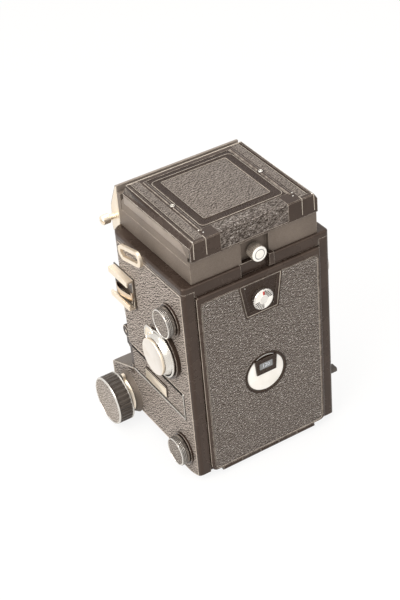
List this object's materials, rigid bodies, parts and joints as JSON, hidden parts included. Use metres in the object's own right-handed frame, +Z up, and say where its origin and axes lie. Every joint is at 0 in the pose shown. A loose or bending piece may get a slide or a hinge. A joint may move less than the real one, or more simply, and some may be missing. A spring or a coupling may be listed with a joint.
{
  "type": "twin lens reflex camera",
  "caption": "Twin lens reflex camera for roll film with bellows focusing by rack and pinion, hinged back, folding hood and sliding front standard.",
  "frame": {"origin": "centre of the mouth of the tripod socket, on the underside of the foot plate", "axes": "+Z up, the lenses look along -Y, +X is the side with the accessory shoe and spool knobs"},
  "size_m": [0.1334, 0.1137, 0.1692],
  "materials": {
    "black_paint": "semi-matt black enamel",
    "grey_paint": "fine grained grey enamel",
    "covering": "grained covering, warm grey-black",
    "polished_metal": "satin chrome plate",
    "bare_metal": "brushed",
    "cast_metal": "die cast, satin",
    "black_plastic": "matt moulded",
    "gloss_black": "glossy black",
    "cloth": "pleated coated cloth",
    "lens_glass": "coated",
    "screen_glass": "ground",
    "silvered_glass": "front silvered"
  },
  "bodies": {
    "camera_body": {"chassis": "black_paint", "lower_bay_casting": "black_paint", "upper_bay_casting": "black_paint", "mirror_box": "black_paint", "side_coverings": "covering", "left_side_cover": "black_paint", "right_side_cover": "black_paint", "top_plate": "black_paint", "ground_glass": "screen_glass", "mirror": "silvered_glass", "foot_plate": "bare_metal", "tripod_bush": "polished_metal", "bed_plate": "black_paint", "strap_lugs": "polished_metal", "accessory_shoe": "polished_metal", "focus_bosses": "cast_metal", "door_hinge_leaf": "bare_metal", "finder_block": "grey_paint", "hood_base": "grey_paint"},
    "lower_roller": {"film_roller_lower": "polished_metal"},
    "upper_roller": {"film_roller_upper": "polished_metal"},
    "focus_drive": {"focus_shaft": "bare_metal", "focus_knob_left": "black_plastic", "focus_knob_right": "black_plastic"},
    "focus_lock": {"focus_lock_lever": "cast_metal"},
    "lens_standard": {"front_standard": "black_paint", "focus_racks": "bare_metal", "lens_board": "black_paint", "bellows": "cloth", "taking_shutter": "black_paint", "taking_barrel": "black_paint", "viewing_barrel": "black_paint", "front_glasses": "lens_glass"},
    "speed_ring": {"speed_ring": "polished_metal"},
    "lens_bail": {"lens_bail": "polished_metal"},
    "back_door": {"back_door": "black_paint", "door_leather": "covering", "door_trim": "gloss_black", "window_disc": "polished_metal", "pressure_springs": "polished_metal"},
    "reminder_dial": {"reminder_dial": "polished_metal"},
    "pressure_plate": {"pressure_plate": "black_paint"},
    "door_catch": {"door_catch": "bare_metal"},
    "takeup_spool": {"takeup_spool": "black_plastic"},
    "lower_spool_knob": {"spool_knob_lower": "black_plastic"},
    "upper_spool_knob": {"spool_knob_upper": "black_plastic"},
    "crank": {"crank": "bare_metal"},
    "crank_handle": {"crank_handle": "black_plastic"},
    "lens_lock": {"lens_lock_dial": "polished_metal"},
    "multi_exposure_lever": {"multi_exposure_lever": "black_plastic"},
    "release_button": {"release_button": "polished_metal"},
    "hood_lid": {"hood_lid": "black_paint"},
    "finder_door": {"finder_door": "black_paint"},
    "left_wing": {"hood_wing_left": "black_paint"},
    "right_wing": {"hood_wing_right": "black_paint"},
    "rear_flap": {"hood_rear_flap": "black_paint"},
    "magnifier": {"magnifier": "black_paint", "magnifier_glass": "lens_glass"},
    "hood_clamp": {"hood_clamp_knob": "black_plastic"},
    "screen_clamp": {"screen_clamp_knob": "polished_metal"}
  },
  "joints": [
    {"name": "back_door_hinge", "type": "hinge", "parent": "camera_body", "child": "back_door", "pos_m": [0, 0.0416, 0.0029], "axis": [-1, 0, 0], "range_deg": [0, 85]},
    {"name": "reminder_dial_turn", "type": "hinge", "parent": "back_door", "child": "reminder_dial", "pos_m": [0, 0.044, 0.1155], "axis": [0, 1, 0], "continuous": true},
    {"name": "pressure_plate_press", "type": "slide", "parent": "back_door", "child": "pressure_plate", "axis": [0, 1, 0], "range_m": [0, 0.0012], "stiffness_N_per_m": 600, "deforming": ["pressure_springs"]},
    {"name": "door_catch_slide", "type": "slide", "parent": "camera_body", "child": "door_catch", "axis": [0, 0, 1], "range_m": [0, 0.002], "stiffness_N_per_m": 300},
    {"name": "crank_turn", "type": "hinge", "parent": "camera_body", "child": "crank", "pos_m": [-0.05, 0.0256, 0.1115], "axis": [1, 0, 0], "continuous": true},
    {"name": "crank_handle_spin", "type": "hinge", "parent": "crank", "child": "crank_handle", "pos_m": [-0.06, -0.0054, 0.1115], "axis": [1, 0, 0], "continuous": true},
    {"name": "takeup_spool_turn", "type": "hinge", "parent": "camera_body", "child": "takeup_spool", "pos_m": [0, 0.0256, 0.1115], "axis": [1, 0, 0], "continuous": true},
    {"name": "upper_knob_pull", "type": "slide", "parent": "camera_body", "child": "upper_spool_knob", "axis": [1, 0, 0], "range_m": [0, 0.007], "stiffness_N_per_m": 300},
    {"name": "lower_knob_pull", "type": "slide", "parent": "camera_body", "child": "lower_spool_knob", "axis": [1, 0, 0], "range_m": [0, 0.007], "stiffness_N_per_m": 300},
    {"name": "lower_roller_turn", "type": "hinge", "parent": "camera_body", "child": "lower_roller", "pos_m": [0, 0.0352, 0.03215], "axis": [1, 0, 0], "continuous": true},
    {"name": "upper_roller_turn", "type": "hinge", "parent": "camera_body", "child": "upper_roller", "pos_m": [0, 0.0352, 0.09535], "axis": [1, 0, 0], "continuous": true},
    {"name": "lens_lock_turn", "type": "hinge", "parent": "camera_body", "child": "lens_lock", "pos_m": [0.05, 0.0154, 0.083], "axis": [1, 0, 0], "range_deg": [0, 90]},
    {"name": "standard_slide", "type": "slide", "parent": "camera_body", "child": "lens_standard", "axis": [0, -1, 0], "range_m": [0, 0.042], "deforming": ["bellows"]},
    {"name": "focus_turn", "type": "hinge", "parent": "camera_body", "child": "focus_drive", "pos_m": [0, -0.0395, 0.0171], "axis": [1, 0, 0], "range_deg": [0, 301]},
    {"name": "focus_lock_turn", "type": "hinge", "parent": "camera_body", "child": "focus_lock", "pos_m": [0.053, -0.0395, 0.0171], "axis": [1, 0, 0], "range_deg": [-30, 0]},
    {"name": "speed_ring_turn", "type": "hinge", "parent": "lens_standard", "child": "speed_ring", "pos_m": [0, -0.059, 0.06375], "axis": [0, 1, 0], "range_deg": [-50, 50]},
    {"name": "lens_bail_swing", "type": "hinge", "parent": "lens_standard", "child": "lens_bail", "pos_m": [0, -0.05375, 0.05775], "axis": [1, 0, 0], "range_deg": [0, 80]},
    {"name": "release_press", "type": "slide", "parent": "camera_body", "child": "release_button", "axis": [0, 1, 0], "range_m": [0, 0.0025], "stiffness_N_per_m": 300},
    {"name": "multi_exposure_turn", "type": "hinge", "parent": "camera_body", "child": "multi_exposure_lever", "pos_m": [-0.05, 0.034, 0.0328], "axis": [1, 0, 0], "range_deg": [-60, 0]},
    {"name": "hood_lid_open", "type": "hinge", "parent": "camera_body", "child": "hood_lid", "pos_m": [0, -0.0333, 0.1644], "axis": [1, 0, 0], "range_deg": [0, 90]},
    {"name": "left_wing_fold", "type": "hinge", "parent": "hood_lid", "child": "left_wing", "pos_m": [0.0371, 0.005, 0.1641], "axis": [0, -1, 0], "range_deg": [0, 90]},
    {"name": "right_wing_fold", "type": "hinge", "parent": "hood_lid", "child": "right_wing", "pos_m": [-0.0371, 0.005, 0.1641], "axis": [0, 1, 0], "range_deg": [0, 90]},
    {"name": "rear_flap_fold", "type": "hinge", "parent": "camera_body", "child": "rear_flap", "pos_m": [0, 0.0375, 0.1542], "axis": [-1, 0, 0], "range_deg": [0, 90]},
    {"name": "magnifier_swing", "type": "hinge", "parent": "hood_lid", "child": "magnifier", "pos_m": [0, -0.012, 0.1606], "axis": [-1, 0, 0], "range_deg": [0, 90]},
    {"name": "finder_door_open", "type": "hinge", "parent": "hood_lid", "child": "finder_door", "pos_m": [0, -0.0265, 0.1679], "axis": [1, 0, 0], "range_deg": [0, 90]},
    {"name": "hood_clamp_turn", "type": "hinge", "parent": "camera_body", "child": "hood_clamp", "pos_m": [0, 0.042, 0.1455], "axis": [0, 1, 0], "range_deg": [0, 360]},
    {"name": "screen_clamp_turn", "type": "hinge", "parent": "camera_body", "child": "screen_clamp", "pos_m": [0.044, -0.045, 0.1425], "axis": [1, 0, 0], "range_deg": [0, 180]}
  ],
  "couplings": [
    {"joint": "focus_turn", "follows": "standard_slide", "rad_per_m": 125},
    {"joint": "takeup_spool_turn", "follows": "crank_turn", "ratio": 1},
    {"joint": "left_wing_fold", "follows": "hood_lid_open", "ratio": 1},
    {"joint": "right_wing_fold", "follows": "hood_lid_open", "ratio": 1},
    {"joint": "rear_flap_fold", "follows": "hood_lid_open", "ratio": 1},
    {"joint": "magnifier_swing", "follows": "hood_lid_open", "ratio": 1}
  ]
}
